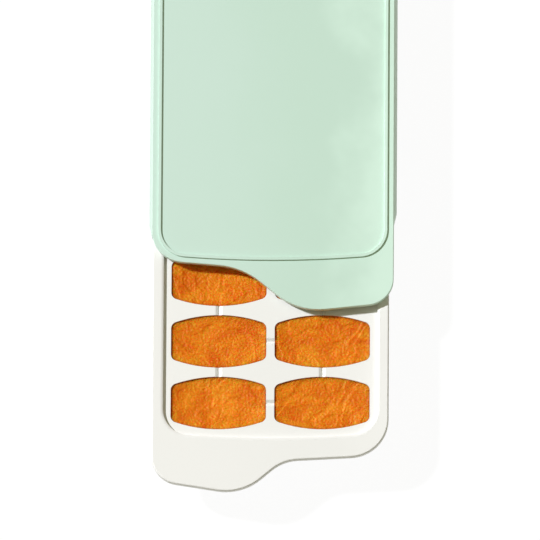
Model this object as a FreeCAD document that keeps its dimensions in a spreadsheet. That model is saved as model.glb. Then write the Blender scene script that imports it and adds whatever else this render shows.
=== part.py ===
import FreeCAD, Part
import math
import os
import re

import Sketcher

# Baby food freezer tray with a lid that slides along its rim.
# Frame: X across, Y along, Z up. The origin lies on the surface the tray stands on, under the
# middle of the tray and lid together, with the lid part of the way open towards +Y and pushed
# towards +X as far as its rails let it.
# Each body is drawn about the tray's or the lid's own middle and then placed.

# ---------------------------------------------------------------- driving dimensions (mm, degrees)
SIZES = (
    # pockets: two columns, with bowed long sides and a rounded floor
    ("rows", 7),
    ("pocket_length", 49.0),
    ("pocket_width", 27.6),
    ("pocket_bow", 68.0),
    ("pocket_corner", 3.5),
    ("pocket_depth", 26.0),
    ("pocket_draft", 3.5),
    ("cup_corner", 3.5),
    ("cup_chamfer", 2.4),
    ("row_web", 4.7),
    ("column_web", 4.2),
    # overflow channels between the pockets
    ("channel_width", 3.8),
    ("channel_depth", 0.95),
    ("channel_easing", 0.7),
    ("channel_lip", 0.2),
    # deck and rim of the tray
    ("tray_wall", 1.4),
    ("deck_drop", 2.5),
    ("deck_side", 5.4),
    ("deck_end", 6.3),
    ("deck_bow", 580.0),
    ("deck_corner", 12.0),
    ("deck_chamfer", 0.6),
    ("rim_width", 4.3),
    ("rim_skirt", 4.0),
    ("rim_chamfer", 0.8),
    ("rim_inner_chamfer", 0.4),
    # S-shaped ends of the tray, in plan
    ("tab_length", 25.4),
    ("tab_slope", 9.0),
    ("tab_corner", 15.0),
    ("tab_tip", 28.0),
    ("shoulder_slope", 40.0),
    ("shoulder_shift", -1.5),
    ("end_neck", 22.0),
    ("end_length", 9.1),
    ("end_slope", 3.0),
    ("end_corner", 20.0),
    # shell of the lid
    ("lid_wall", 1.4),
    ("lid_rise", 3.6),
    ("lid_rounding", 2.4),
    ("lid_margin", 1.4),
    ("slide_gap", 0.3),
    ("lid_open_rows", 3),
    # S-shaped ends of the lid, in plan
    ("lid_tab_length", 28.6),
    ("lid_tab_slope", 6.0),
    ("lid_tab_corner", 14.0),
    ("lid_tab_tip", 34.0),
    ("lid_shoulder_slope", 39.0),
    ("lid_shoulder_shift", 2.9),
    ("lid_neck", 40.0),
    ("lid_end_length", 5.6),
    ("lid_end_slope", 5.0),
    ("lid_end_corner", 17.0),
    # stacking bead on the lid and sealing rib under it
    ("bead_offset", 1.7),
    ("bead_end_offset", 2.2),
    ("bead_width", 2.0),
    ("bead_height", 1.0),
    ("bead_chamfer", 0.5),
    ("seal_width", 1.5),
    # rails of the lid
    ("rail_clearance", 1.3),
    ("rail_wall", 1.4),
    ("rail_hook", 2.2),
    ("rail_hook_height", 1.3),
    ("rail_shoulder", 1.4),
    ("rail_lead", 5.6),
    ("rail_tab_setback", 17.2),
    ("rail_short_setback", 10.0),
)
ALIASES = [alias for alias, _ in SIZES]
CORNER_PARTS = 5

# Sizes and places that follow from the driving ones, as expressions on the sheet
ROW_PITCH = "(pocket_width + row_web)"
COLUMN_PITCH = "(pocket_length + column_web)"
DECK_TOP = "(tray_wall + pocket_depth)"
DECK_UNDER = f"({DECK_TOP} - tray_wall)"
RIM_TOP = f"({DECK_TOP} + deck_drop)"
SKIRT_FOOT = f"({RIM_TOP} - rim_skirt)"
POCKETS_HALF = f"({COLUMN_PITCH} / 2 + pocket_length / 2)"
POCKETS_REACH = f"((rows - 1) / 2 * {ROW_PITCH} + pocket_width / 2)"
DECK_HALF = f"({POCKETS_HALF} + deck_side)"
DECK_REACH = f"({POCKETS_REACH} + deck_end)"
RIM_HALF = f"({DECK_HALF} + rim_width)"
LID_FOOT = f"({RIM_TOP} + slide_gap)"
LID_TOP = f"({LID_FOOT} + lid_rise)"
LID_HALF = f"({RIM_HALF} + lid_margin)"
LID_OPENING = f"(lid_open_rows * {ROW_PITCH})"
MIDDLE = f"(({LID_OPENING} + lid_tab_length - tab_length) / 2)"
BEAD_HALF = f"({DECK_HALF} + bead_offset)"
BEAD_REACH = f"({DECK_REACH} + bead_end_offset)"
RAIL_IN = f"({RIM_HALF} + rail_clearance)"
RAIL_OUT = f"({RAIL_IN} + rail_wall)"
RAIL_FOOT = f"({SKIRT_FOOT} - slide_gap - rail_hook_height)"
RAIL_TAB_END = f"({DECK_REACH} - rail_tab_setback)"
RAIL_SHORT_END = f"({DECK_REACH} - rail_short_setback)"

TRAY_PLAN = {"half": RIM_HALF, "tab": "tab_length", "tab_slope": "tab_slope", "end": "end_length",
             "end_slope": "end_slope", "slope": "shoulder_slope", "shift": "shoulder_shift",
             "roundings": ("tab_corner", "tab_tip", "end_neck", "end_corner"), "mirrored": False}
LID_PLAN = {"half": LID_HALF, "tab": "lid_tab_length", "tab_slope": "lid_tab_slope",
            "end": "lid_end_length", "end_slope": "lid_end_slope", "slope": "lid_shoulder_slope",
            "shift": "lid_shoulder_shift",
            "roundings": ("lid_tab_corner", "lid_tab_tip", "lid_neck", "lid_end_corner"),
            "mirrored": True}

document = FreeCAD.newDocument("freezer_tray")
sheet = document.addObject("Spreadsheet::Sheet", "Sizes")
for row, (alias, cell) in enumerate(SIZES, start=1):
    sheet.set(f"A{row}", alias)
    sheet.set(f"B{row}", str(cell))
    sheet.setAlias(f"B{row}", alias)
document.recompute()


def on_sheet(expression):
    """Put the sheet's name before every alias in an expression."""
    return re.sub(r"\b(" + "|".join(ALIASES) + r")\b", r"Sizes.\1", expression)


def value(expression):
    """The number that an expression on the sheet gives now."""
    return float(sheet.evalExpression(on_sheet(expression)))


# ---------------------------------------------------------------- sketches
def new_sketch(body, name, height="0", plane="XY_Plane"):
    """Start a sketch on one of the body's origin planes, moved along the plane's normal."""
    sketch = body.newObject("Sketcher::SketchObject", name)
    sketch.AttachmentSupport = [(origin_feature(body, plane), "")]
    sketch.MapMode = "FlatFace"
    sketch.setExpression("AttachmentOffset.Base.z", on_sheet(height))
    return sketch


def origin_feature(body, role):
    """One of the body's own origin planes or axes."""
    return next(item for item in body.Origin.OriginFeatures if item.Role == role)


def bind(sketch, kind, items, expression):
    """Add a dimension to a sketch and tie it to the sheet."""
    start = value(expression)
    if kind == "Angle":
        index = sketch.addConstraint(Sketcher.Constraint(kind, *items, math.radians(start)))
        sketch.setExpression(f"Constraints[{index}]", f"({on_sheet(expression)}) * 1 deg")
        return
    index = sketch.addConstraint(Sketcher.Constraint(kind, *items, start))
    sketch.setExpression(f"Constraints[{index}]", on_sheet(expression))


def point(x, y):
    return FreeCAD.Vector(x, y, 0)


def line(start, end):
    return Part.LineSegment(point(*start), point(*end))


def arc(centre, radius, start, end):
    """An arc that runs anticlockwise between two angles in radians."""
    circle = Part.Circle(point(*centre), FreeCAD.Vector(0, 0, 1), radius)
    return Part.ArcOfCircle(circle, start, end)


def run_smoothly(sketch, pieces):
    """Let each piece end where the next begins, in the same direction.

    A piece is its number in the sketch with the numbers of its first and last points.
    """
    for (here, _, last), (there, first, _) in zip(pieces, pieces[1:] + pieces[:1]):
        sketch.addConstraint(Sketcher.Constraint("Tangent", here, last, there, first))


def barrel(sketch, half, reach, bow, corner, centre=("0", "0"), parts=1):
    """Draw an outline with two flat sides across X and two bowed sides across Y.

    half runs from the centre to a flat side, reach to the crown of a bowed side. bow is the radius
    of the bowed sides and corner the radius of the corners. A corner is drawn in one or more equal
    parts, which share its centre.
    """
    w, r, big, small = (value(text) for text in (half, reach, bow, corner))
    x, y = (value(text) for text in centre)
    turn = f"acos(({half} - ({corner})) / ({bow} - ({corner}))) / {parts} / 1 deg"
    part, quarter = math.radians(value(turn)), math.pi / 2
    tip = quarter - parts * part
    up = (big - small) * math.cos(tip) - (big - r)

    def corner_arcs(across, along, start):
        spot = (x + across * (w - small), y + along * up)
        return [arc(spot, small, start + i * part, start + (i + 1) * part) for i in range(parts)]

    outline = ([line((x + w, y - up), (x + w, y + up))], corner_arcs(1, 1, 0),
               [arc((x, y + r - big), big, quarter - tip, quarter + tip)],
               corner_arcs(-1, 1, quarter + tip),
               [line((x - w, y + up), (x - w, y - up))], corner_arcs(-1, -1, 2 * quarter),
               [arc((x, y - r + big), big, 3 * quarter - tip, 3 * quarter + tip)],
               corner_arcs(1, -1, 3 * quarter + tip))
    runs = [[sketch.addGeometry(piece, False) for piece in run] for run in outline]
    for run, following in zip(runs, runs[1:] + runs[:1]):
        sketch.addConstraint(Sketcher.Constraint("Tangent", run[-1], 2, following[0], 1))
    for run, side in ((runs[0], "+"), (runs[4], "-")):
        sketch.addConstraint(Sketcher.Constraint("Vertical", run[0]))
        bind(sketch, "DistanceX", (-1, 1, run[0], 1), f"{centre[0]} {side} {half}")
    for run, side in ((runs[2], "+"), (runs[6], "-")):
        bind(sketch, "Radius", (run[0],), bow)
        bind(sketch, "DistanceX", (-1, 1, run[0], 3), centre[0])
        bind(sketch, "DistanceY", (-1, 1, run[0], 3), f"{centre[1]} {side} ({reach} - ({bow}))")
    for run in runs[1::2]:
        bind(sketch, "Radius", (run[0],), corner)
        for here, there in zip(run, run[1:]):
            sketch.addConstraint(Sketcher.Constraint("Coincident", here, 2, there, 1))
            sketch.addConstraint(Sketcher.Constraint("Coincident", here, 3, there, 3))
            bind(sketch, "Angle", (here,), turn)


def cut_barrel(sketch, half, reach, bow, lean, centre):
    """Draw an outline like a barrel whose corners are cut off at 45 degrees.

    lean is how far a bowed side runs to each side of its crown, in degrees about its own centre.
    """
    w, r, big, tip = (value(text) for text in (half, reach, bow, lean))
    x, y = (value(text) for text in centre)
    quarter, tip = math.pi / 2, math.radians(tip)
    out, up = big * math.sin(tip), r - big + big * math.cos(tip)
    low = up - (w - out)
    outline = (line((x + w, y - low), (x + w, y + low)), line((x + w, y + low), (x + out, y + up)),
               arc((x, y + r - big), big, quarter - tip, quarter + tip),
               line((x - out, y + up), (x - w, y + low)), line((x - w, y + low), (x - w, y - low)),
               line((x - w, y - low), (x - out, y - up)),
               arc((x, y - r + big), big, 3 * quarter - tip, 3 * quarter + tip),
               line((x + out, y - up), (x + w, y - low)))
    items = [sketch.addGeometry(piece, False) for piece in outline]
    for here, there in zip(items, items[1:] + items[:1]):
        sketch.addConstraint(Sketcher.Constraint("Coincident", here, 2, there, 1))
    for item, side in ((items[0], "+"), (items[4], "-")):
        sketch.addConstraint(Sketcher.Constraint("Vertical", item))
        bind(sketch, "DistanceX", (-1, 1, item, 1), f"{centre[0]} {side} {half}")
    for item, side in ((items[2], "+"), (items[6], "-")):
        bind(sketch, "Radius", (item,), bow)
        bind(sketch, "Angle", (item,), f"2 * {lean}")
        bind(sketch, "DistanceX", (-1, 1, item, 3), centre[0])
        bind(sketch, "DistanceY", (-1, 1, item, 3), f"{centre[1]} {side} ({reach} - ({bow}))")
    for item, heading in zip((items[1], items[3], items[5], items[7]), (135, 225, -45, 45)):
        bind(sketch, "Angle", (item,), str(heading))


def s_runs(plan, inset):
    """The straight runs of an S-ended plate, anticlockwise, as expressions.

    Each run is its heading in degrees, its distance from the centre and the rounding at its end.
    The tab edge and the short edge of an end are set a quarter of the width from the middle, each
    by how far beyond the deck it lies there. The shoulder lies half-way between the two.
    """
    across = f"({plan['half']} / 2)"
    halfway = f"(({plan['tab']} + {plan['end']}) / 2)"
    corner, tip, neck, short_corner = plan["roundings"]
    ends = ((f"(0 - {plan['tab_slope']})", f"{across} * sin({plan['tab_slope']})", plan["tab"],
             f"{tip} - {inset}"),
            (plan["slope"], f"{plan['shift']} * sin({plan['slope']})", halfway,
             f"{neck} + {inset}"),
            (plan["end_slope"], f"{across} * sin({plan['end_slope']})", plan["end"],
             f"{short_corner} - {inset}"))
    runs = [("(0 - 90)", f"{plan['half']} - {inset}", f"{corner} - {inset}")]
    for heading, sideways, beyond, rounding in ends:
        along = f"({DECK_REACH} + {beyond}) * cos({heading})"
        runs.append((heading, f"{sideways} + {along} - {inset}", rounding))
    return runs + [(f"({heading} + 180)", *rest) for heading, *rest in runs]


def crossing(one, other):
    """Where two runs meet, each given by its heading in radians and distance from the centre."""
    (a, p), (b, q) = one[:2], other[:2]
    turn = math.sin(b - a)
    return ((q * math.cos(a) - p * math.cos(b)) / turn, (q * math.sin(a) - p * math.sin(b)) / turn)


def s_outline(sketch, plan, inset="0"):
    """Draw a plate with straight sides and an S-shaped end at each end, half a turn apart.

    inset moves the whole outline inwards. A mirrored plan has its near tab at +X.
    """
    runs = s_runs(plan, inset)
    known = [(math.radians(value(a)), value(d), value(r)) for a, d, r in runs]
    flip = -1 if plan["mirrored"] else 1
    bends = [bend(known[i], known[(i + 1) % len(known)]) for i in range(len(known))]
    pieces = []
    for i, (heading, distance, rounding) in enumerate(runs):
        start, end = bends[i - 1]["exit"], bends[i]["entry"]
        straight = sketch.addGeometry(line((flip * start[0], start[1]), (flip * end[0], end[1])), False)
        pieces.append((straight, 1, 2))
        pieces.append(add_bend(sketch, bends[i], flip))
        true_heading = f"(180 - {heading})" if plan["mirrored"] else heading
        bind(sketch, "Angle", (straight,), true_heading)
        bind(sketch, "Distance", (-1, 1, straight), distance)
        bind(sketch, "Radius", (pieces[-1][0],), rounding)
    run_smoothly(sketch, pieces)


def bend(run, following):
    """The rounding between two runs: where it starts and ends, its centre, radius and side."""
    (heading, _, radius), next_heading = run, following[0]
    turn = math.remainder(next_heading - heading, 2 * math.pi)
    side = math.copysign(1, turn)
    back = radius * math.tan(abs(turn) / 2)
    x, y = crossing(run, following)
    entry = (x - back * math.cos(heading), y - back * math.sin(heading))
    leave = (x + back * math.cos(next_heading), y + back * math.sin(next_heading))
    centre = (entry[0] - side * radius * math.sin(heading), entry[1] + side * radius * math.cos(heading))
    return {"entry": entry, "exit": leave, "centre": centre, "radius": radius, "side": side}


def add_bend(sketch, rounding, flip):
    """Add a rounding as an arc, and say which of its points comes first."""
    cx, cy = flip * rounding["centre"][0], rounding["centre"][1]
    angles = [math.atan2(spot[1] - cy, flip * spot[0] - cx)
              for spot in (rounding["entry"], rounding["exit"])]
    forwards = rounding["side"] * flip > 0
    first, last = angles if forwards else reversed(angles)
    if last < first:
        last += 2 * math.pi
    item = sketch.addGeometry(arc((cx, cy), rounding["radius"], first, last), False)
    return (item, 1, 2) if forwards else (item, 2, 1)


def polygon(sketch, corners):
    """Draw straight edges through corners given as pairs of expressions."""
    spots = [(value(x), value(y)) for x, y in corners]
    items = [sketch.addGeometry(line(spots[i], spots[(i + 1) % len(spots)]), False)
             for i in range(len(spots))]
    for here, there in zip(items, items[1:] + items[:1]):
        sketch.addConstraint(Sketcher.Constraint("Coincident", here, 2, there, 1))
    for item, (x, y) in zip(items, corners):
        bind(sketch, "DistanceX", (-1, 1, item, 1), x)
        bind(sketch, "DistanceY", (-1, 1, item, 1), y)


# ---------------------------------------------------------------- features
def extrude(body, kind, name, sketch, length, reverse=False):
    """Pad or pocket a sketch. A pad goes along the sketch's normal and a pocket against it."""
    feature = body.newObject(f"PartDesign::{kind}", name)
    feature.Profile = sketch
    feature.setExpression("Length", on_sheet(length))
    feature.Reversed = reverse
    document.recompute()
    return feature


def loft(body, kind, name, sketches):
    """Run straight from each sketch to the next."""
    feature = body.newObject(f"PartDesign::{kind}", name)
    feature.Profile = sketches[0]
    feature.Sections = sketches[1:]
    feature.Ruled = True
    document.recompute()
    return feature


def repeat(body, name, originals, across, along):
    """Repeat features in a grid: across and along are (number, pitch) expressions.

    across is None where the features repeat along Y only.
    """
    pattern = body.newObject("PartDesign::LinearPattern", name)
    pattern.Originals = originals
    ways = [("X_Axis", across), ("Y_Axis", along)] if across else [("Y_Axis", along)]
    for suffix, (axis, (count, pitch)) in zip(("", "2"), ways):
        setattr(pattern, f"Direction{suffix}", (origin_feature(body, axis), [""]))
        pattern.setExpression(f"Length{suffix}", on_sheet(f"({count} - 1) * {pitch}"))
        pattern.setExpression(f"Occurrences{suffix}", on_sheet(count))
    body.Tip = pattern
    document.recompute()
    return pattern


def half_turn(body, name, originals):
    """Repeat features once more, turned half a turn about Z."""
    pattern = body.newObject("PartDesign::PolarPattern", name)
    pattern.Originals = originals
    pattern.Axis = (origin_feature(body, "Z_Axis"), [""])
    pattern.Angle = 360
    pattern.Occurrences = 2
    body.Tip = pattern
    document.recompute()
    return pattern


def finish_edges(body, kind, name, size, chosen):
    """Fillet or chamfer the edges so far that a test on their middle and box picks out."""
    base = body.Tip
    names = []
    for index, edge in enumerate(base.Shape.Edges, start=1):
        middle = edge.valueAt((edge.FirstParameter + edge.LastParameter) / 2)
        if chosen(middle, edge.BoundBox):
            names.append(f"Edge{index}")
    feature = body.newObject(f"PartDesign::{kind}", name)
    feature.Base = (base, names)
    feature.setExpression({"Fillet": "Radius", "Chamfer": "Size"}[kind], on_sheet(size))
    document.recompute()
    return feature


def level(box, height):
    """Whether an edge's box lies flat at a height given by an expression."""
    wanted = value(height)
    return abs(box.ZMin - wanted) < 1e-3 and abs(box.ZMax - wanted) < 1e-3


def within(middle, half, reach):
    """Whether a point lies inside a rectangle given by two expressions."""
    return abs(middle.x) < value(half) + 1e-3 and abs(middle.y) < value(reach) + 1e-3


# ---------------------------------------------------------------- tray
def leaned(height, wall):
    """How far a pocket's side lies outwards of its mouth at a height, for a wall outside it."""
    return f"({wall} - ({DECK_TOP} - {height}) * tan(pocket_draft))"


def barrel_at(sketch, draw, offset, ends):
    """Draw the outline of the pocket nearest to -X and -Y, moved outwards by an offset."""
    centre = (f"(0 - {COLUMN_PITCH} / 2)", f"(0 - (rows - 1) / 2 * {ROW_PITCH})")
    draw(sketch, f"(pocket_length / 2 + {offset})", f"(pocket_width / 2 + {offset})",
         f"(pocket_bow + {offset})", ends, centre)


def pocket_grid(body, kind, name, sketches):
    """Loft a pocket through its sketches and repeat it over every row and column."""
    first = loft(body, kind, name, sketches)
    repeat(body, f"{name}_grid", [first], ("2", COLUMN_PITCH), ("rows", ROW_PITCH))


def add_cups(body):
    """Add the outside of every pocket: leaning sides, cut corners and a chamfered foot."""
    lean = "(asin((pocket_length / 2 + tray_wall - cup_corner) / (pocket_bow + tray_wall)) / 1 deg)"
    at_chamfer = leaned("cup_chamfer", "tray_wall")
    levels = ((DECK_TOP, "tray_wall"), ("cup_chamfer", at_chamfer),
              ("0", f"({at_chamfer} - cup_chamfer)"))
    sketches = []
    for number, (height, offset) in enumerate(levels, start=1):
        sketches.append(new_sketch(body, f"cup_level_{number}", height))
        barrel_at(sketches[-1], cut_barrel, offset, lean)
    pocket_grid(body, "AdditiveLoft", "cup", sketches)


def cut_pockets(body):
    """Cut the inside of every pocket, with sides that lean in towards the floor."""
    sketches = []
    for name, height in (("floor", "tray_wall"), ("mouth", DECK_TOP)):
        offset = leaned(height, "0")
        sketches.append(new_sketch(body, f"pocket_{name}", height))
        barrel_at(sketches[-1], pocket_barrel, offset, f"(pocket_corner + {offset})")
    pocket_grid(body, "SubtractiveLoft", "pocket", sketches)


def pocket_barrel(sketch, half, reach, bow, corner, centre):
    """Draw a barrel whose corners are in parts, which keeps the facets of tall corners few."""
    barrel(sketch, half, reach, bow, corner, centre, parts=CORNER_PARTS)


def cut_channels(body):
    """Cut the V-shaped overflow channels between the rows of each column and between the columns."""
    column = f"(0 - {COLUMN_PITCH} / 2)"
    row = f"(0 - (rows - 1) / 2 * {ROW_PITCH})"
    row_start = f"{row} + pocket_width / 2 - tray_wall"
    channels = (("row_channel", "XZ_Plane", f"0 - ({row_start})", column, "row_web",
                 ("2", COLUMN_PITCH), "rows - 1"),
                ("column_channel", "YZ_Plane", "column_web / 2 + tray_wall", row, "column_web",
                 None, "rows"))
    for name, plane, height, middle, web, columns, count in channels:
        sketch = new_sketch(body, f"{name}_section", height, plane)
        sides = (("(0 - channel_width / 2)", "0"),
                 ("(channel_easing - channel_width / 2)", "channel_lip"), ("0", "channel_depth"),
                 ("(channel_width / 2 - channel_easing)", "channel_lip"), ("channel_width / 2", "0"))
        polygon(sketch, [(f"{middle} + {side}", f"{DECK_TOP} - {down}") for side, down in sides])
        first = extrude(body, "Pocket", name, sketch, f"{web} + 2 * tray_wall")
        repeat(body, f"{name}s", [first], columns, (count, ROW_PITCH))


def make_tray():
    """Rim with its skirt, sunken deck, the cups under it, the pockets and the channels."""
    body = document.addObject("PartDesign::Body", "tray")
    body.Label = "tray"

    plate = new_sketch(body, "rim_outline", SKIRT_FOOT)
    s_outline(plate, TRAY_PLAN)
    extrude(body, "Pad", "rim", plate, "rim_skirt")
    finish_edges(body, "Chamfer", "rim_chamfer", "rim_chamfer",
                 lambda middle, box: level(box, RIM_TOP))
    hollow = new_sketch(body, "rim_hollow_outline", SKIRT_FOOT)
    s_outline(hollow, TRAY_PLAN, "tray_wall")
    extrude(body, "Pocket", "rim_hollow", hollow, "rim_skirt - tray_wall", reverse=True)

    tub = new_sketch(body, "tub_outline", DECK_UNDER)
    barrel(tub, f"({DECK_HALF} + tray_wall)", f"({DECK_REACH} + tray_wall)", "deck_bow + tray_wall",
           "deck_corner + tray_wall")
    extrude(body, "Pad", "tub", tub, f"{RIM_TOP} - {DECK_UNDER} - tray_wall / 2")
    add_cups(body)

    deck = new_sketch(body, "deck_outline", RIM_TOP)
    barrel(deck, DECK_HALF, DECK_REACH, "deck_bow", "deck_corner")
    extrude(body, "Pocket", "deck", deck, "deck_drop")
    finish_edges(body, "Chamfer", "deck_chamfer", "deck_chamfer",
                 lambda middle, box: level(box, DECK_TOP))
    finish_edges(body, "Chamfer", "rim_inner_chamfer", "rim_inner_chamfer",
                 lambda middle, box: level(box, RIM_TOP) and within(middle, DECK_HALF, DECK_REACH))
    cut_pockets(body)
    cut_channels(body)
    body.setExpression("Placement.Base.y", on_sheet(f"0 - {MIDDLE}"))
    return body


# ---------------------------------------------------------------- lid
def ring(body, name, height, width, length):
    """Pad a ring of a given width that follows the edge of the deck."""
    sketch = new_sketch(body, f"{name}_outline", height)
    for side in (f"({width} / 2)", f"(0 - {width} / 2)"):
        barrel(sketch, f"({BEAD_HALF} + {side})", f"({BEAD_REACH} + {side})",
               f"deck_bow + bead_offset + {side}", f"deck_corner + bead_offset + {side}")
    return extrude(body, "Pad", name, sketch, length)


def add_rails(body):
    """Pad the C-shaped rail that holds the rim at +X, lead its ends in, and turn a second to -X."""
    shoulder = f"({LID_TOP} - lid_rounding)"
    inner = f"({LID_HALF} - lid_wall / 2)"
    hook_top = f"({RAIL_FOOT} + rail_hook_height)"
    section = new_sketch(body, "rail_section", f"0 - {RAIL_SHORT_END}", "XZ_Plane")
    polygon(section, ((inner, shoulder), (LID_HALF, shoulder),
                      (RAIL_OUT, f"{shoulder} - rail_shoulder"), (RAIL_OUT, RAIL_FOOT),
                      (f"{RIM_HALF} - rail_hook", RAIL_FOOT), (f"{RIM_HALF} - rail_hook", hook_top),
                      (RAIL_IN, hook_top), (RAIL_IN, LID_FOOT), (inner, LID_FOOT)))
    rail = extrude(body, "Pad", "rail", section, f"{RAIL_SHORT_END} + {RAIL_TAB_END}")
    half_turn(body, "rails", [rail])
    beyond = f"{RAIL_OUT} + rail_wall"
    for name, end, back in (("tab_lead", f"0 - {RAIL_TAB_END}", "+ rail_lead"),
                            ("short_lead", RAIL_SHORT_END, "- rail_lead")):
        lead = new_sketch(body, f"{name}_outline", shoulder)
        polygon(lead, ((RAIL_OUT, f"{end} {back}"), (LID_HALF, end), (beyond, end),
                       (beyond, f"{end} {back}")))
        cut = extrude(body, "Pocket", name, lead, f"{shoulder} - {RAIL_FOOT}")
        half_turn(body, f"{name}s", [cut])


def make_lid():
    """Shell with a rounded edge, stacking bead above, sealing rib below and a rail on each side."""
    body = document.addObject("PartDesign::Body", "sliding_lid")
    body.Label = "sliding_lid"

    plate = new_sketch(body, "lid_outline", LID_FOOT)
    s_outline(plate, LID_PLAN)
    extrude(body, "Pad", "lid_plate", plate, "lid_rise")
    finish_edges(body, "Fillet", "lid_rounding", "lid_rounding",
                 lambda middle, box: level(box, LID_TOP))
    hollow = new_sketch(body, "lid_hollow_outline", LID_FOOT)
    s_outline(hollow, LID_PLAN, "lid_wall")
    extrude(body, "Pocket", "lid_hollow", hollow, "lid_rise - lid_wall", reverse=True)

    ring(body, "seal_rib", LID_FOOT, "seal_width", "lid_rise - lid_wall / 2")
    ring(body, "bead", LID_TOP, "bead_width", "bead_height")
    finish_edges(body, "Chamfer", "bead_chamfer", "bead_chamfer",
                 lambda middle, box: level(box, f"{LID_TOP} + bead_height"))
    add_rails(body)
    body.setExpression("Placement.Base.x", on_sheet("rail_clearance - slide_gap"))
    body.setExpression("Placement.Base.y", on_sheet(f"{LID_OPENING} - {MIDDLE}"))
    return body


# ---------------------------------------------------------------- build, check and write
pieces = [make_tray(), make_lid()]
document.recompute()
for item in document.Objects:
    if "Invalid" in item.State or "Error" in item.State:
        raise RuntimeError(f"{item.Label} did not build: {item.State}")
os.makedirs("parts", exist_ok=True)
for piece in pieces:
    shape = piece.Shape
    if shape.isNull() or not shape.isValid() or len(shape.Solids) != 1:
        raise RuntimeError(f"{piece.Label} is not one valid solid")
    shape.exportStep(f"parts/{piece.Label}.step")
    box = shape.BoundBox
    print(f"{piece.Label}: {shape.Volume / 1000:.1f} cm3, X {box.XMin:.1f}..{box.XMax:.1f}, "
          f"Y {box.YMin:.1f}..{box.YMax:.1f}, Z {box.ZMin:.1f}..{box.ZMax:.1f}")
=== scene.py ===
"""Looks of a baby food freezer tray: a white tray of filled pockets under a mint sliding lid."""

import logging
import math
from dataclasses import dataclass, replace
from enum import Enum

import bmesh
import bpy
from mathutils import Matrix, Vector


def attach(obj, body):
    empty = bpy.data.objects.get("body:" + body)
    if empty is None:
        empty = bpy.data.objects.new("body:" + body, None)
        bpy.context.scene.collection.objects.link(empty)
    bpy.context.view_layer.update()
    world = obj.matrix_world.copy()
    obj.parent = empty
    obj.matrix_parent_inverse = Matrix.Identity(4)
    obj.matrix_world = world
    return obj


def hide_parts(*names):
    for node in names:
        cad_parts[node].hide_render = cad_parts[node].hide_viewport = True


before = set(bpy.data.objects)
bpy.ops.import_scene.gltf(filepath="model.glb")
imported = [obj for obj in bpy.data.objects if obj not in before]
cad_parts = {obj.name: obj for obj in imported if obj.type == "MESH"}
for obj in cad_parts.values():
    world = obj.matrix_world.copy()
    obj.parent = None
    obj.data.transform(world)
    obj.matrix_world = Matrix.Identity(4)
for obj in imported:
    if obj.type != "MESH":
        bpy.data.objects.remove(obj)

LOG = logging.getLogger("freezer_tray")
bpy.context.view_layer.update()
Colour = tuple[float, float, float, float]

# Lengths are in metres, so each is written as a number of millimetres.
MM = 0.001
# The grid of pockets: its middle along Y, its pitches and the height of the deck round it.
MIDDLE = -50.05 * MM
ROW_PITCH = 32.3 * MM
COLUMN_PITCH = 53.2 * MM
DECK_TOP = 27.4 * MM


class Body(Enum):
    """The rigid bodies that pieces ride on."""

    TRAY = "tray_body"
    LID = "lid_body"


class Slot(Enum):
    """The record's material slots."""

    TRAY = "tray_plastic"
    LID = "lid_plastic"


def linear(red: int, green: int, blue: int) -> Colour:
    """Turn an sRGB colour, given in steps from 0 to 255, into Blender's linear values.

    Args:
        red: Red step.
        green: Green step.
        blue: Blue step.

    Returns:
        Linear red, green and blue with full alpha.
    """
    steps = [step / 255 for step in (red, green, blue)]
    return (*(s / 12.92 if s <= 0.04045 else ((s + 0.055) / 1.055) ** 2.4 for s in steps), 1.0)


# ------------------------------------------------------------------ outlines
@dataclass(frozen=True)
class Barrel:
    """An outline with two flat sides across X, two bowed sides across Y and rounded corners.

    Attributes:
        half: Distance from the middle to a flat side.
        reach: Distance from the middle to the crown of a bowed side.
        bow: Radius of the bowed sides.
        corner: Radius of the corners.
        middle: Where the outline's middle lies, along X and Y.
    """

    half: float
    reach: float
    bow: float
    corner: float
    middle: tuple[float, float] = (0.0, 0.0)

    def lean(self) -> float:
        """How far a bowed side runs to each side of its crown, about its own centre."""
        return math.asin((self.half - self.corner) / (self.bow - self.corner))

    def turning(self) -> tuple[float, float]:
        """The centre of the corner at +X and +Y."""
        up = self.reach - self.bow + (self.bow - self.corner) * math.cos(self.lean())
        return self.half - self.corner, up

    def edge(self, along: float, inset: float = 0.0) -> float:
        """How far the outline lies from the middle along Y.

        Args:
            along: Distance from the middle along X.
            inset: How far the outline is moved inwards.

        Returns:
            The half width there.
        """
        x, up = self.turning()
        if abs(along) <= (self.bow - inset) * math.sin(self.lean()):
            return self.reach - self.bow + math.sqrt((self.bow - inset) ** 2 - along ** 2)
        rise = (self.corner - inset) ** 2 - (abs(along) - x) ** 2
        return up + math.sqrt(max(rise, 0.0))

    def heading(self, across: float, along: float) -> float:
        """Find which way the outline faces near a spot of the first quarter.

        Args:
            across: The spot's distance from the middle along X.
            along: The spot's distance from the middle along Y.

        Returns:
            The direction, in radians from +X.
        """
        x, up = self.turning()
        about_corner = math.atan2(max(along - up, 0.0), across - x)
        if about_corner <= math.pi / 2 - self.lean():
            return about_corner
        return math.atan2(along - self.reach + self.bow, across)

    def spot(self, heading: float, out: float) -> tuple[float, float]:
        """Find where the outline faces a direction of the first quarter.

        Args:
            heading: The direction, in radians from +X.
            out: How far outside the outline the spot is to lie.

        Returns:
            The spot's distances from the middle along X and Y.
        """
        (x, y), radius = self.turning(), self.corner
        if heading > math.pi / 2 - self.lean():
            (x, y), radius = (0.0, self.reach - self.bow), self.bow
        return x + (radius + out) * math.cos(heading), y + (radius + out) * math.sin(heading)


@dataclass(frozen=True)
class Loop:
    """A ring of points that follows an outline: height and distance out, before and after."""

    height: float
    out: float
    new_height: float
    new_out: float


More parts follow.
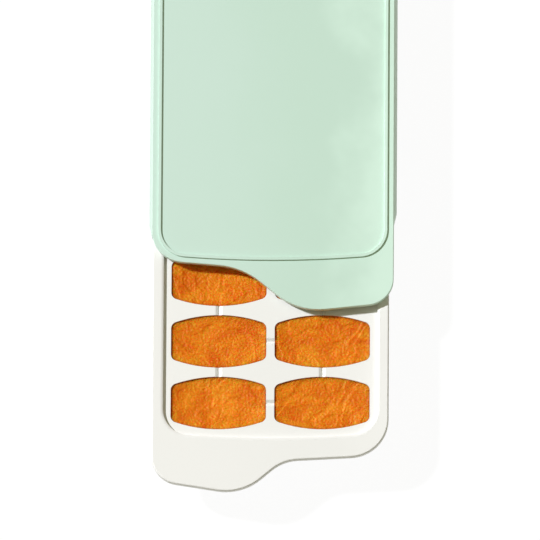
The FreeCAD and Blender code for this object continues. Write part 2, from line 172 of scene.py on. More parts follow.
def move_loops(work: bmesh.types.BMesh, old: Barrel, new: Barrel, loops: tuple[Loop, ...],
               near: float = 0.02 * MM) -> None:
    """Move rings of points from one outline to another, each point to where the same way is faced.

    Args:
        work: The mesh.
        old: The outline that the rings follow.
        new: The outline that they are to follow.
        loops: The rings.
        near: How far a point may lie from a ring to be part of it.
    """
    _, old_up = old.turning()
    for vert in work.verts:
        x, y = vert.co.x - old.middle[0], vert.co.y - old.middle[1]
        for loop in loops:
            if abs(vert.co.z - loop.height) > near:
                continue
            heading = old.heading(abs(x), abs(y))
            there = old.spot(heading, loop.out)
            flat = abs(y) < old_up - near
            if abs(abs(x) - there[0]) > near or (not flat and abs(abs(y) - there[1]) > near):
                continue
            across, along = new.spot(heading, loop.new_out)
            vert.co = (new.middle[0] + math.copysign(across, x),
                       new.middle[1] + (y if flat else math.copysign(along, y)), loop.new_height)
            break


# ------------------------------------------------------------------ finishes
@dataclass
class Nodes:
    """A short hand for building node trees."""

    tree: bpy.types.NodeTree

    def add(self, kind: str, **settings: object) -> bpy.types.Node:
        """Add a node.

        Args:
            kind: The node's type name.
            **settings: Properties to set, or input values under the input's name in lower case.

        Returns:
            The new node.
        """
        node = self.tree.nodes.new(kind)
        for name, setting in settings.items():
            if hasattr(node, name):
                setattr(node, name, setting)
            else:
                node.inputs[name.replace("_", " ").title()].default_value = setting
        return node

    def link(self, source: bpy.types.NodeSocket, target: bpy.types.NodeSocket) -> None:
        """Join two sockets."""
        self.tree.links.new(source, target)

    def maths(self, operation: str, *values: object) -> bpy.types.NodeSocket:
        """Add a Math node fed by sockets or numbers.

        Args:
            operation: The Math node's operation.
            *values: A socket or a number for each input.

        Returns:
            The result socket.
        """
        node = self.add("ShaderNodeMath", operation=operation)
        for socket, item in zip(node.inputs, values):
            if isinstance(item, bpy.types.NodeSocket):
                self.link(item, socket)
            else:
                socket.default_value = item
        return node.outputs[0]

    def ramp(self, factor: bpy.types.NodeSocket, stops: dict[float, Colour],
             interpolation: str = "LINEAR") -> bpy.types.NodeSocket:
        """Add a colour ramp.

        Args:
            factor: What runs along the ramp.
            stops: The colour at each place, with the lowest place first.
            interpolation: How the ramp goes from stop to stop.

        Returns:
            The colour.
        """
        node = self.add("ShaderNodeValToRGB")
        node.color_ramp.interpolation = interpolation
        elements = node.color_ramp.elements
        (low, first), *between, (high, last) = stops.items()
        elements[0].position, elements[0].color = low, first
        elements[1].position, elements[1].color = high, last
        for place, colour in between:
            elements.new(place).color = colour
        self.link(factor, node.inputs["Fac"])
        return node.outputs["Color"]


def new_material(name: str) -> tuple[bpy.types.Material, Nodes, bpy.types.Node]:
    """Start a material.

    Args:
        name: The material's name.

    Returns:
        The material, its node helper and its Principled shader.
    """
    material = bpy.data.materials.new(name)
    material.use_nodes = True
    return material, Nodes(material.node_tree), material.node_tree.nodes["Principled BSDF"]


@dataclass(frozen=True)
class MouldedPlastic:
    """Satin injection-moulded plastic with a faint mottle and a fine moulded grain.

    Its colour drifts softly across the width as painted light: painted shade that deepens towards
    +X, and a painted highlight that makes the edge at +X paler.
    """

    name: str
    colour: Colour
    # The second and third colours are painted light: painted shade, then a paler painted highlight
    # at the +X edge.
    painted_shade: Colour
    pale: Colour
    roughness: float
    roughness_spread: float = 0.05
    half: float = 61.0 * MM
    stops: tuple[float, float, float] = (0.1, 0.74, 1.0)
    mottle_scale: float = 26.0
    mottle_detail: float = 3.0
    mottle_roughness: float = 0.55
    mottle_share: float = 0.5
    grain: float = 0.25
    grain_scale: float = 2600.0
    grain_detail: float = 2.0
    grain_depth: float = 0.02 * MM
    ior: float = 1.49

    def material(self) -> bpy.types.Material:
        """Build the material.

        Returns:
            The material.
        """
        material, nodes, shader = new_material(self.name)
        place = nodes.add("ShaderNodeTexCoord").outputs["Object"]
        mottle = nodes.add("ShaderNodeTexNoise", scale=self.mottle_scale,
                           detail=self.mottle_detail, roughness=self.mottle_roughness)
        nodes.link(place, mottle.inputs["Vector"])
        apart = nodes.add("ShaderNodeSeparateXYZ")
        nodes.link(place, apart.inputs[0])
        # Painted light: across X the colour runs from its own colour through painted shade to a
        # painted highlight at +X, stirred by the mottle.
        across = nodes.maths("MULTIPLY", apart.outputs["X"], 0.5 / self.half)
        wavy = nodes.maths("MULTIPLY", nodes.maths("SUBTRACT", mottle.outputs["Fac"], 0.5),
                           self.mottle_share)
        painted_light_and_mottle = nodes.maths("ADD", nodes.maths("ADD", across, 0.5), wavy)
        stops = dict(zip(self.stops, (self.colour, self.painted_shade, self.pale)))
        nodes.link(nodes.ramp(painted_light_and_mottle, stops, "EASE"), shader.inputs["Base Color"])
        grain = nodes.add("ShaderNodeTexNoise", scale=self.grain_scale, detail=self.grain_detail)
        nodes.link(place, grain.inputs["Vector"])
        rough = nodes.add("ShaderNodeMapRange")
        nodes.link(mottle.outputs["Fac"], rough.inputs["Value"])
        rough.inputs["To Min"].default_value = self.roughness - self.roughness_spread
        rough.inputs["To Max"].default_value = self.roughness + self.roughness_spread
        nodes.link(rough.outputs["Result"], shader.inputs["Roughness"])
        bump = nodes.add("ShaderNodeBump", strength=self.grain, distance=self.grain_depth)
        nodes.link(grain.outputs["Fac"], bump.inputs["Height"])
        nodes.link(bump.outputs["Normal"], shader.inputs["Normal"])
        shader.inputs["IOR"].default_value = self.ior
        return material


@dataclass(frozen=True)
class Puree:
    """Moist vegetable puree: bright orange, grainy, with deeper and paler smears, and a dark red
    painted shade where it meets the walls.
    """

    name: str = "puree"
    # The edge colour is painted shade: the dark red of the crevice along the pocket walls.
    edge: Colour = linear(176, 52, 0)
    edge_shade_power: float = 0.4
    deep: Colour = linear(220, 108, 6)
    middle: Colour = linear(230, 130, 14)
    pale: Colour = linear(240, 148, 28)
    stops: tuple[float, float, float] = (0.34, 0.5, 0.66)
    smear_scale: float = 60.0
    smear_detail: float = 3.0
    smear_twist: float = 1.6
    smear_share: float = 0.8
    grain_scale: float = 780.0
    grain_share: float = 0.2
    grain_depth: float = 0.5 * MM
    speck_scale: float = 1500.0
    speck_depth: float = 0.14 * MM
    roughness: float = 0.45
    ior: float = 1.33
    specular: float = 0.22
    scatter: float = 0.8
    scatter_depth: float = 6.0 * MM
    scatter_colour: tuple[float, float, float] = (1.0, 0.08, 0.03)

    def material(self) -> bpy.types.Material:
        """Build the material.

        Returns:
            The material.
        """
        material, nodes, shader = new_material(self.name)
        place = nodes.add("ShaderNodeTexCoord").outputs["Object"]
        smears = nodes.add("ShaderNodeTexNoise", scale=self.smear_scale,
                           detail=self.smear_detail, distortion=self.smear_twist)
        grains = nodes.add("ShaderNodeTexNoise", scale=self.grain_scale, detail=0.0)
        specks = nodes.add("ShaderNodeTexNoise", scale=self.speck_scale, detail=1.0)
        for texture in (smears, grains, specks):
            nodes.link(place, texture.inputs["Vector"])
        mixed = nodes.maths("ADD",
                            nodes.maths("MULTIPLY", smears.outputs["Fac"], self.smear_share),
                            nodes.maths("MULTIPLY", grains.outputs["Fac"], self.grain_share))
        body = nodes.ramp(mixed, dict(zip(self.stops, (self.deep, self.middle, self.pale))))
        # Painted shade: the colour turns to the dark red edge where the surface is held at the
        # walls.
        loose = nodes.add("ShaderNodeAttribute", attribute_name="loose")
        rim = nodes.add("ShaderNodeMix", data_type="RGBA")
        nodes.link(nodes.maths("POWER", loose.outputs["Fac"], self.edge_shade_power),
                   rim.inputs["Factor"])
        # A Mix node's sockets for each type share their names, so the colours go by number.
        rim.inputs[6].default_value = self.edge
        nodes.link(body, rim.inputs[7])
        nodes.link(rim.outputs[2], shader.inputs["Base Color"])
        normal = None
        for texture, depth in ((grains, self.grain_depth), (specks, self.speck_depth)):
            bump = nodes.add("ShaderNodeBump", strength=1.0, distance=depth)
            nodes.link(texture.outputs["Fac"], bump.inputs["Height"])
            if normal is not None:
                nodes.link(normal, bump.inputs["Normal"])
            normal = bump.outputs["Normal"]
        nodes.link(normal, shader.inputs["Normal"])
        shader.inputs["Roughness"].default_value = self.roughness
        shader.inputs["IOR"].default_value = self.ior
        shader.inputs["Specular IOR Level"].default_value = self.specular
        shader.inputs["Subsurface Weight"].default_value = self.scatter
        shader.inputs["Subsurface Radius"].default_value = self.scatter_colour
        shader.inputs["Subsurface Scale"].default_value = self.scatter_depth
        return material


# Each finish lists its own colour, then painted shade, then a paler painted highlight for the +X
# edge.
WHITE_TRAY = MouldedPlastic("white_polypropylene", linear(241, 240, 236), linear(239, 238, 234),
                            linear(243, 242, 238), 0.42)
MINT_LID = MouldedPlastic("mint_polypropylene", linear(202, 226, 212), linear(196, 222, 205),
                          linear(212, 238, 221), 0.4)


# ------------------------------------------------------------------ shells
@dataclass
class MouldedShell:
    """One plastic moulding: its flat faces stay flat and its eased edges look rounded."""

    node: str
    body: Body
    slot: Slot
    finish: MouldedPlastic
    merge: float = 0.001 * MM
    crease: float = 50.0
    flatness: float = 0.99999

    def build(self) -> bpy.types.Object:
        """Make the moulding's mesh from the node's shape, with its loose triangles joined.

        Returns:
            The piece.
        """
        work = bmesh.new()
        work.from_mesh(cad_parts[self.node].data)
        bmesh.ops.remove_doubles(work, verts=work.verts, dist=self.merge)
        self.reshape(work)
        work.normal_update()
        mesh = bpy.data.meshes.new(f"{self.node}_shell")
        work.to_mesh(mesh)
        normals = self.normals(work)
        work.free()
        mesh.polygons.foreach_set("use_smooth", [True] * len(mesh.polygons))
        mesh.normals_split_custom_set(normals)
        piece = bpy.data.objects.new(f"{self.node}_shell", mesh)
        bpy.context.scene.collection.objects.link(piece)
        return piece

    def reshape(self, work: bmesh.types.BMesh) -> None:
        """Give the joined mesh its finer forms; a plain moulding has none."""

    def normals(self, work: bmesh.types.BMesh) -> list[Vector]:
        """Work out a normal for every corner, led by the largest flat area that meets there.

        Args:
            work: The joined mesh.

        Returns:
            The normals, in the order of the mesh's corners.
        """
        work.faces.ensure_lookup_table()
        areas = self.flat_areas(work)
        limit = math.cos(math.radians(self.crease))
        normals = []
        for face in work.faces:
            for loop in face.loops:
                total = Vector()
                for other in loop.vert.link_faces:
                    if other.normal.dot(face.normal) > limit:
                        total += other.normal * areas[other.index] ** 2
                normals.append(total.normalized())
        return normals

    def flat_areas(self, work: bmesh.types.BMesh) -> list[float]:
        """Measure the flat area that each face is part of.

        Args:
            work: The joined mesh.

        Returns:
            The area for each face.
        """
        areas = [0.0] * len(work.faces)
        seen: set[int] = set()
        for start in work.faces:
            if start.index in seen:
                continue
            seen.add(start.index)
            flat, waiting = [], [start]
            while waiting:
                face = waiting.pop()
                flat.append(face)
                for edge in face.edges:
                    for other in edge.link_faces:
                        level = other.normal.dot(face.normal) > self.flatness
                        if level and other.index not in seen:
                            seen.add(other.index)
                            waiting.append(other)
            area = sum(face.calc_area() for face in flat)
            for face in flat:
                areas[face.index] = area
        return areas

    def dress(self, piece: bpy.types.Object) -> None:
        """Give the piece its finish and its place.

        Args:
            piece: The piece that build made.
        """
        piece.data.materials.append(self.finish.material())
        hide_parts(self.node)
        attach(piece, self.body.value)


@dataclass
class TrayShell(MouldedShell):
    """The tray, with a sloped bevel inside its rim, a rounder deck and crisp V-shaped channels.

    Attributes:
        rim_easing: Easing of the rim's inner edge before it is sloped.
        deck_easing: Easing at the deck's edge before it is moved in.
        outline: The inside of the rim.
        corner: The deck's new corner radius.
        bevel: How far the new bevel runs in, and how far down.
        foot: How far the easing under the bevel runs in, and how far up.
        column: Distance of each column of pockets from the middle.
        depth: A channel's depth, before and after.
        lip: How deep a channel's eased lips lie.
        flank: How far a channel's lips lie from its middle, before and after.
    """

    node: str = "tray"
    body: Body = Body.TRAY
    slot: Slot = Slot.TRAY
    finish: MouldedPlastic = WHITE_TRAY
    rim_top: float = 29.9 * MM
    rim_easing: float = 0.4 * MM
    deck_top: float = DECK_TOP
    deck_easing: float = 0.6 * MM
    outline: Barrel = Barrel(56.5 * MM, 117.0 * MM, 580.0 * MM, 12.0 * MM, (0.0, MIDDLE))
    corner: float = 15.2 * MM
    bevel: tuple[float, float] = (1.5 * MM, 0.8 * MM)
    foot: tuple[float, float] = (0.1 * MM, 0.3 * MM)
    column: float = COLUMN_PITCH / 2
    row_pitch: float = ROW_PITCH
    depth: tuple[float, float] = (0.95 * MM, 1.3 * MM)
    lip: float = 0.2 * MM
    flank: tuple[float, float] = (1.2 * MM, 1.4 * MM)

    def reshape(self, work: bmesh.types.BMesh) -> None:
        """Slope the rim's inner edge, round the deck's corners and deepen the channels.

        Args:
            work: The joined mesh.
        """
        (run, drop), (ease, rise) = self.bevel, self.foot
        rim, old_rim_ease = self.rim_top, self.rim_easing
        deck, old_deck_ease = self.deck_top, self.deck_easing
        move_loops(work, self.outline, replace(self.outline, corner=self.corner),
                   (Loop(rim, old_rim_ease, rim, 0.0),
                    Loop(rim - old_rim_ease, 0.0, rim - drop, -run),
                    Loop(deck + old_deck_ease, 0.0, deck + rise, -run),
                    Loop(deck, -old_deck_ease, deck, -run - ease)))
        for vert in work.verts:
            self.deepen(vert)

    def deepen(self, vert: bmesh.types.BMVert, near: float = 0.01 * MM) -> None:
        """Move a point of a channel: its bed goes down and its eased lips go apart.

        Args:
            vert: Any point of the tray.
            near: How far a point may lie from a channel's height to be part of it.
        """
        down, apart = self.deck_top - vert.co.z, self.flank[1] - self.flank[0]
        if abs(down - self.depth[0]) < near:
            vert.co.z = self.deck_top - self.depth[1]
        elif abs(down - self.lip) < near:
            across = abs(vert.co.x) - self.column
            along = vert.co.y - self.outline.middle[1]
            along -= round(along / self.row_pitch) * self.row_pitch
            if abs(abs(across) - self.flank[0]) < near:
                vert.co.x += math.copysign(apart, across * vert.co.x)
            elif abs(abs(along) - self.flank[0]) < near:
                vert.co.y += math.copysign(apart, along)


@dataclass
class LidShell(MouldedShell):
    """The lid, with a crisp eased edge and a narrow bead with upright sides.

    Attributes:
        wall: Thickness under the top.
        rounding: Radius of the outer edge before it is made crisp.
        easing: Height of the chamfer that takes its place.
        outline: The middle of the bead.
        end_shift: How far the bead's bowed ends move out.
        wide_bead: Half the bead's width, its height and its easing, before.
        bead: The same, after.
    """

    node: str = "sliding_lid"
    body: Body = Body.LID
    slot: Slot = Slot.LID
    finish: MouldedPlastic = MINT_LID
    top: float = 33.8 * MM
    wall: float = 1.4 * MM
    rounding: float = 2.4 * MM
    easing: float = 0.25 * MM
    outline: Barrel = Barrel(58.2 * MM, 119.2 * MM, 581.7 * MM, 13.7 * MM, (1.0 * MM, 46.85 * MM))
    end_shift: float = 0.4 * MM
    wide_bead: tuple[float, float, float] = (1.0 * MM, 1.0 * MM, 0.5 * MM)
    bead: tuple[float, float, float] = (0.8 * MM, 1.0 * MM, 0.15 * MM)

    def reshape(self, work: bmesh.types.BMesh) -> None:
        """Narrow the bead and turn the rounded edge into a small chamfer.

        Args:
            work: The joined mesh.
        """
        (old_half, old_height, old_ease), (half, height, ease) = self.wide_bead, self.bead
        top, loops = self.top, []
        for side in (1, -1):
            loops += [Loop(top, side * old_half, top, side * half),
                      Loop(top + old_height - old_ease, side * old_half,
                           top + height - ease, side * half),
                      Loop(top + old_height, side * (old_half - old_ease),
                           top + height, side * (half - ease))]
        move_loops(work, self.outline,
                   replace(self.outline, reach=self.outline.reach + self.end_shift), tuple(loops))
        for vert in work.verts:
            self.crisp(vert)

    def crisp(self, vert: bmesh.types.BMVert, near: float = 0.001 * MM) -> None:
        """Lift a point of the rounded edge onto a plain chamfer.

        Args:
            vert: Any point of the lid.
            near: How far a point may lie from the edge's foot, or from the underside.
        """
        rise = vert.co.z - self.top + self.rounding
        underside = abs(vert.co.z - self.top + self.wall) < near
        if -near < rise < self.rounding - near and not underside:
            inward = self.rounding - math.sqrt(max(self.rounding ** 2 - rise ** 2, 0.0))
            vert.co.z = self.top - max(self.easing - inward, 0.0)


# ------------------------------------------------------------------ puree
@dataclass(frozen=True)
class Relief:
    """One layer of the puree's surface: a noise, and how high it stands."""

    name: str
    kind: str
    scale: float
    detail: float
    twist: float
    height: float
    stepped: bool = False


@dataclass
class Portions:
    """Puree that fills every pocket: one blank, set in a grid and roughened by a node tree.

    Attributes:
        draft: Slope of the pocket's walls, in degrees.
        gap: Space between the puree and the walls.
        drop: How far the puree's edge lies below the deck.
        dish: How far its middle sinks below its edge.
        floor_gap: Space between the puree and the pocket's floor.
        steps: Quads along and across one portion.
        crowding: How strongly the quads crowd towards the walls.
        fade: Distance from the walls over which the relief grows to its full height and the
            painted edge shade fades out.
        sharp: Angle above which an edge is shown sharp, in degrees.
        ledge_levels: Levels of the smooth relief at which a ledge stands.
        ledge_ease: Half the width of a ledge's edge, as a share of that relief.
        ledge_slope: How steeply the ground falls back between ledges.
    """

    finish: Puree
    pocket: Barrel = Barrel(24.5 * MM, 13.8 * MM, 68.0 * MM, 3.5 * MM)
    depth: float = 26.0 * MM
    draft: float = 3.5
    rows: int = 7
    row_pitch: float = ROW_PITCH
    column_pitch: float = COLUMN_PITCH
    deck: float = DECK_TOP
    middle: float = MIDDLE
    gap: float = 0.04 * MM
    drop: float = 0.95 * MM
    dish: float = 1.0 * MM
    dish_power: float = 3.2
    floor_gap: float = 1.0 * MM
    steps: tuple[int, int] = (104, 56)
    crowding: float = 0.2
    fade: float = 1.4 * MM
    sharp: float = 60.0
    seed: float = 4.0
    reliefs: tuple[Relief, ...] = (
        Relief("Waves", "FBM", 70.0, 2.0, 0.6, 0.9 * MM),
        Relief("Folds", "RIDGED_MULTIFRACTAL", 110.0, 2.0, 1.4, 0.03 * MM),
        Relief("Ledges", "FBM", 52.0, 0.0, 1.1, 0.9 * MM, stepped=True),
        Relief("Grain", "FBM", 720.0, 1.0, 0.0, 0.16 * MM),
    )
    ledge_levels: tuple[float, ...] = (0.4, 0.57)
    ledge_ease: float = 0.012
    ledge_slope: float = 2.6

    def level(self, across: float, along: float) -> float:
        """How far a spot of the blank lies below its edge, where the puree clings to the wall.

        Args:
            across: Place along the pocket, from -1 to 1.
            along: Place across the pocket, from -1 to 1.

        Returns:
            The depth of the dish there.
        """
        power = self.dish_power
        return self.dish * (1 - abs(across) ** power) * (1 - abs(along) ** power)

    def crowd(self, place: float) -> float:
        """Draw a place from -1 to 1 towards the nearer end, where the blank needs more points."""
        return place * (1 + self.crowding - self.crowding * place * place)

    def blank(self) -> bpy.types.Object:
        """Make one closed portion about the origin, with how loose its surface is on each point.

        Returns:
            The blank.
        """
        nx, ny = self.steps
        half = self.pocket.half - self.gap
        spots, loose = [], []
        for i in range(nx + 1):
            x = half * self.crowd(-1 + 2 * i / nx)
            edge = self.pocket.edge(x, self.gap)
            for j in range(ny + 1):
                v = self.crowd(-1 + 2 * j / ny)
                reach = max(min(half - abs(x), edge * (1 - abs(v))), 0.0)
                spots.append((x, v * edge, self.deck - self.drop - self.level(x / half, v)))
                # How loose a point is also sets where the puree's painted edge shade fades out.
                loose.append(min(reach / self.fade, 1.0))

        def at(i: int, j: int) -> int:
            """The number of a spot of the grid."""
            return i * (ny + 1) + j

        faces = [(at(i, j), at(i + 1, j), at(i + 1, j + 1), at(i, j + 1))
                 for i in range(nx) for j in range(ny)]
        ring = ([at(i, 0) for i in range(nx)] + [at(nx, j) for j in range(ny)]
                + [at(i, ny) for i in range(nx, 0, -1)] + [at(0, j) for j in range(ny, 0, -1)])
        depth = self.depth - self.floor_gap - self.drop
        shrink = depth * math.tan(math.radians(self.draft))
        low = self.deck - self.drop - depth
        first = len(spots)
        for index in ring:
            x, y, _ = spots[index]
            spots.append((x * (1 - shrink / half), y * (1 - shrink / self.pocket.reach), low))
            loose.append(0.0)
        count = len(ring)
        faces += [(ring[(k + 1) % count], ring[k], first + k, first + (k + 1) % count)
                  for k in range(count)]
        faces.append(tuple(first + k for k in reversed(range(count))))
        mesh = bpy.data.meshes.new("portion_blank")
        mesh.from_pydata(spots, [], faces)
        mesh.attributes.new("loose", "FLOAT", "POINT").data.foreach_set("value", loose)
        blank = bpy.data.objects.new("portion_blank", mesh)
        bpy.context.scene.collection.objects.link(blank)
        return blank

    def tree(self) -> bpy.types.NodeTree:
        """Build the tree that repeats the blank over the pockets and roughens its top.

        Returns:
            The node tree.
        """
        tree = bpy.data.node_groups.new("fill_pockets", "GeometryNodeTree")
        nodes = Nodes(tree)
        kinds = {"Blank": "Object", "Rows": "Int", "Row Pitch": "Float", "Column Pitch": "Float",
                 "Middle": "Float", **{layer.name: "Float" for layer in self.reliefs},
                 "Seed": "Float", "Puree": "Material"}
        for name, kind in kinds.items():
            tree.interface.new_socket(name, in_out="INPUT", socket_type=f"NodeSocket{kind}")
        tree.interface.new_socket("Geometry", in_out="OUTPUT", socket_type="NodeSocketGeometry")
        given = nodes.add("NodeGroupInput").outputs
        grid = nodes.add("GeometryNodeMeshGrid")
        nodes.link(given["Column Pitch"], grid.inputs["Size X"])
        nodes.link(nodes.maths("MULTIPLY", nodes.maths("SUBTRACT", given["Rows"], 1.0),
                               given["Row Pitch"]), grid.inputs["Size Y"])
        grid.inputs["Vertices X"].default_value = 2
        nodes.link(given["Rows"], grid.inputs["Vertices Y"])
        shift = nodes.add("ShaderNodeCombineXYZ")
        nodes.link(given["Middle"], shift.inputs["Y"])
        moved = nodes.add("GeometryNodeTransform")
        nodes.link(grid.outputs["Mesh"], moved.inputs["Geometry"])
        nodes.link(shift.outputs[0], moved.inputs["Translation"])
        blank = nodes.add("GeometryNodeObjectInfo")
        nodes.link(given["Blank"], blank.inputs["Object"])
        placed = nodes.add("GeometryNodeInstanceOnPoints")
        nodes.link(moved.outputs["Geometry"], placed.inputs["Points"])
        nodes.link(blank.outputs["Geometry"], placed.inputs["Instance"])
        real = nodes.add("GeometryNodeRealizeInstances")
        nodes.link(placed.outputs["Instances"], real.inputs["Geometry"])
        lifted = nodes.add("GeometryNodeSetPosition")
        nodes.link(real.outputs["Geometry"], lifted.inputs["Geometry"])
        nodes.link(self.relief(nodes, given), lifted.inputs["Offset"])
        painted = nodes.add("GeometryNodeSetMaterial")
        nodes.link(lifted.outputs["Geometry"], painted.inputs["Geometry"])
        nodes.link(given["Puree"], painted.inputs["Material"])
        nodes.link(painted.outputs["Geometry"], nodes.add("NodeGroupOutput").inputs["Geometry"])
        return tree

    def relief(self, nodes: Nodes, given: bpy.types.NodeOutputs) -> bpy.types.NodeSocket:
        """Add up the layers of the surface.

        Args:
            nodes: The tree's node helper.
            given: The tree's inputs.

        Returns:
            The offset of each point.
        """
        place = nodes.add("GeometryNodeInputPosition").outputs["Position"]
        loose = nodes.add("GeometryNodeInputNamedAttribute", data_type="FLOAT")
        loose.inputs["Name"].default_value = "loose"
        total = None
        for layer in self.reliefs:
            noise = nodes.add("ShaderNodeTexNoise", noise_dimensions="4D", noise_type=layer.kind,
                              scale=layer.scale, detail=layer.detail, distortion=layer.twist)
            nodes.link(place, noise.inputs["Vector"])
            nodes.link(given["Seed"], noise.inputs["W"])
            if layer.stepped:
                level = self.ledges(nodes, noise.outputs[0])
            else:
                level = nodes.maths("SUBTRACT", noise.outputs[0], 0.5)
            part = nodes.maths("MULTIPLY", level, given[layer.name])
            total = part if total is None else nodes.maths("ADD", total, part)
        offset = nodes.add("ShaderNodeCombineXYZ")
        nodes.link(nodes.maths("MULTIPLY", total, loose.outputs["Attribute"]), offset.inputs["Z"])
        return offset.outputs[0]

    def ledges(self, nodes: Nodes, level: bpy.types.NodeSocket) -> bpy.types.NodeSocket:
        """Turn a smooth relief into terraces with a crisp edge, like puree folded over itself.

        Args:
            nodes: The tree's node helper.
            level: The smooth relief.

        Returns:
            The height of the terraces, from -0.5 to 0.5.
        """
        total = -0.5
        for edge in self.ledge_levels:
            step = nodes.add("ShaderNodeMapRange", interpolation_type="SMOOTHSTEP",
                             from_min=edge - self.ledge_ease, from_max=edge + self.ledge_ease,
                             to_max=1 / len(self.ledge_levels))
            nodes.link(level, step.inputs["Value"])
            total = nodes.maths("ADD", total, step.outputs["Result"])
        slope = nodes.maths("MULTIPLY", nodes.maths("SUBTRACT", level, 0.5), self.ledge_slope)
        return nodes.maths("SUBTRACT", total, slope)

    def build(self) -> bpy.types.Object:
        """Run the tree once and keep what it makes as a plain mesh.

        Returns:
            The piece.
        """
        blank = self.blank()
        maker = bpy.data.objects.new("puree_maker", bpy.data.meshes.new("puree_maker"))
        bpy.context.scene.collection.objects.link(maker)
        modifier = maker.modifiers.new("fill", "NODES")
        modifier.node_group = self.tree()
        wanted = {"Blank": blank, "Rows": self.rows, "Row Pitch": self.row_pitch,
                  "Column Pitch": self.column_pitch, "Middle": self.middle,
                  **{layer.name: layer.height for layer in self.reliefs},
                  "Seed": self.seed, "Puree": self.finish.material()}
        for item in modifier.node_group.interface.items_tree:
            if item.item_type == "SOCKET" and item.in_out == "INPUT":
                modifier[item.identifier] = wanted[item.name]
        evaluated = maker.evaluated_get(bpy.context.evaluated_depsgraph_get())
        mesh = bpy.data.meshes.new_from_object(evaluated)
        mesh.polygons.foreach_set("use_smooth", [True] * len(mesh.polygons))
        mesh.set_sharp_from_angle(angle=math.radians(self.sharp))
        piece = bpy.data.objects.new("puree", mesh)
        bpy.context.scene.collection.objects.link(piece)
        for spare in (maker, blank):
            bpy.data.objects.remove(spare)
        return piece

    def dress(self, piece: bpy.types.Object) -> None:
        """Let the puree move with the tray.

        Args:
            piece: The piece that build made.
        """
        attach(piece, Body.TRAY.value)


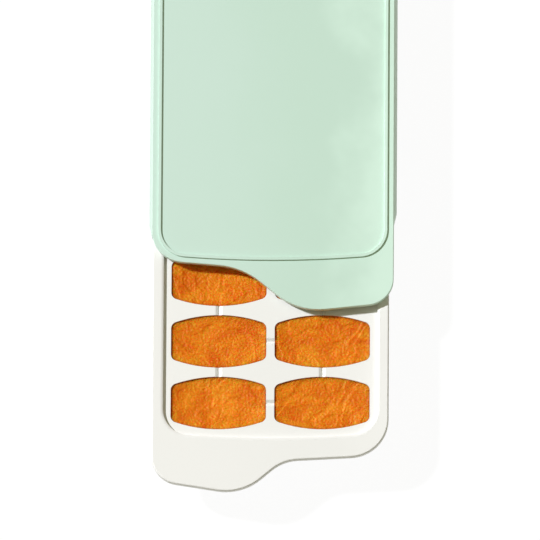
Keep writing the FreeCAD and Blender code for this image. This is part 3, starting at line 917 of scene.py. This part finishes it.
# ------------------------------------------------------------------ studio
@dataclass
class Studio:
    """A white floor, a key light from the upper left, soft fill and a long lens from above.

    Attributes:
        view_width: Width that the camera sees at the anchor.
        anchor: A point on the tray that the view is placed by.
        anchor_right: How far right of the view's centre the anchor falls.
        anchor_down: How far below the view's centre it falls.
        key_size: How wide the key light's disc looks, in degrees.
    """

    azimuth: float = 8.0
    elevation: float = 78.0
    distance: float = 8.0
    view_width: float = 277.0 * MM
    sensor: float = 36.0
    anchor: tuple[float, float, float] = (0.0, -146.95 * MM, 27.4 * MM)
    anchor_right: float = 0.05 * MM
    anchor_down: float = 68.2 * MM
    key: float = 3.75
    key_colour: tuple[float, float, float] = (0.925, 0.94, 1.0)
    key_heading: tuple[float, float, float] = (0.64, -0.3, -0.71)
    key_size: float = 4.0
    fill: float = 0.21
    fill_colour: Colour = (1.0, 0.94, 0.55, 1.0)
    backdrop: Colour = (1.0, 1.0, 1.0, 1.0)
    far: float = 100.0
    floor_half: float = 6.0
    floor_colour: Colour = (0.8, 0.8, 0.8, 1.0)
    floor_roughness: float = 0.9
    floor_glow: float = 0.95
    floor_shade: Colour = (0.08, 0.08, 0.08, 1.0)

    def camera(self) -> None:
        """Aim a camera so that the anchor falls at its stated distance from the frame's centre."""
        a, e = math.radians(self.azimuth), math.radians(self.elevation)
        back = Vector((math.sin(a) * math.cos(e), -math.cos(a) * math.cos(e), math.sin(e)))
        right = (Vector((1, 0, 0)) - back * back.x).normalized()
        up = back.cross(right)
        target = Vector(self.anchor) - right * self.anchor_right + up * self.anchor_down
        lens = bpy.data.cameras.new("camera")
        lens.sensor_width = self.sensor
        lens.lens = self.sensor * self.distance / self.view_width
        lens.clip_end = self.far
        camera = bpy.data.objects.new("camera", lens)
        bpy.context.scene.collection.objects.link(camera)
        turn = Matrix((right, up, back)).transposed()
        camera.matrix_world = Matrix.Translation(target + back * self.distance) @ turn.to_4x4()
        bpy.context.scene.camera = camera

    def floor(self) -> None:
        """Lay a floor that lights the object plainly and looks white, with a faint shadow."""
        work = bmesh.new()
        bmesh.ops.create_grid(work, x_segments=1, y_segments=1, size=self.floor_half)
        mesh = bpy.data.meshes.new("floor")
        work.to_mesh(mesh)
        work.free()
        floor = bpy.data.objects.new("floor", mesh)
        bpy.context.scene.collection.objects.link(floor)
        material, nodes, shader = new_material("white_floor")
        shader.inputs["Base Color"].default_value = self.floor_colour
        shader.inputs["Roughness"].default_value = self.floor_roughness
        seen = nodes.add("ShaderNodeAddShader")
        faint = nodes.add("ShaderNodeBsdfDiffuse")
        faint.inputs["Color"].default_value = self.floor_shade
        glow = nodes.add("ShaderNodeEmission", strength=self.floor_glow)
        nodes.link(faint.outputs[0], seen.inputs[0])
        nodes.link(glow.outputs[0], seen.inputs[1])
        choice = nodes.add("ShaderNodeMixShader")
        nodes.link(self.shown(nodes), choice.inputs["Fac"])
        nodes.link(shader.outputs[0], choice.inputs[1])
        nodes.link(seen.outputs[0], choice.inputs[2])
        nodes.link(choice.outputs[0], nodes.tree.nodes["Material Output"].inputs["Surface"])
        mesh.materials.append(material)

    def shown(self, nodes: Nodes) -> bpy.types.NodeSocket:
        """Say whether a ray comes from the camera or from a gloss or glass surface.

        Args:
            nodes: The node helper of the tree that asks.

        Returns:
            The answer as 0 or 1.
        """
        path = nodes.add("ShaderNodeLightPath").outputs
        either = nodes.maths("MAXIMUM", path["Is Camera Ray"], path["Is Glossy Ray"])
        return nodes.maths("MAXIMUM", either, path["Is Transmission Ray"])

    def lights(self) -> None:
        """Add the key light and the fill that comes from all round."""
        lamp = bpy.data.lights.new("key", "SUN")
        lamp.energy = self.key
        lamp.angle = math.radians(self.key_size)
        lamp.color = self.key_colour
        key = bpy.data.objects.new("key", lamp)
        key.rotation_mode = "QUATERNION"
        key.rotation_quaternion = Vector(self.key_heading).to_track_quat("-Z", "Y")
        bpy.context.scene.collection.objects.link(key)
        world = bpy.data.worlds.new("studio")
        world.use_nodes = True
        bpy.context.scene.world = world
        nodes = Nodes(world.node_tree)
        around = world.node_tree.nodes["Background"]
        around.inputs["Color"].default_value = self.fill_colour
        around.inputs["Strength"].default_value = self.fill
        white = nodes.add("ShaderNodeBackground")
        white.inputs["Color"].default_value = self.backdrop
        choice = nodes.add("ShaderNodeMixShader")
        nodes.link(self.shown(nodes), choice.inputs["Fac"])
        nodes.link(around.outputs[0], choice.inputs[1])
        nodes.link(white.outputs[0], choice.inputs[2])
        nodes.link(choice.outputs[0], world.node_tree.nodes["World Output"].inputs["Surface"])

    def build(self) -> None:
        """Set up floor, lights and camera."""
        self.floor()
        self.lights()
        self.camera()
        bpy.context.scene.view_settings.view_transform = "Standard"


def main() -> None:
    """Build the tray, the puree and the lid, then the studio round them."""
    logging.basicConfig(level=logging.INFO, format="%(name)s: %(message)s")
    for part in (TrayShell(), Portions(Puree()), LidShell()):
        piece = part.build()
        part.dress(piece)
        LOG.info("%s: %d faces", piece.name, len(piece.data.polygons))
    Studio().build()


if __name__ == "__main__":
    main()
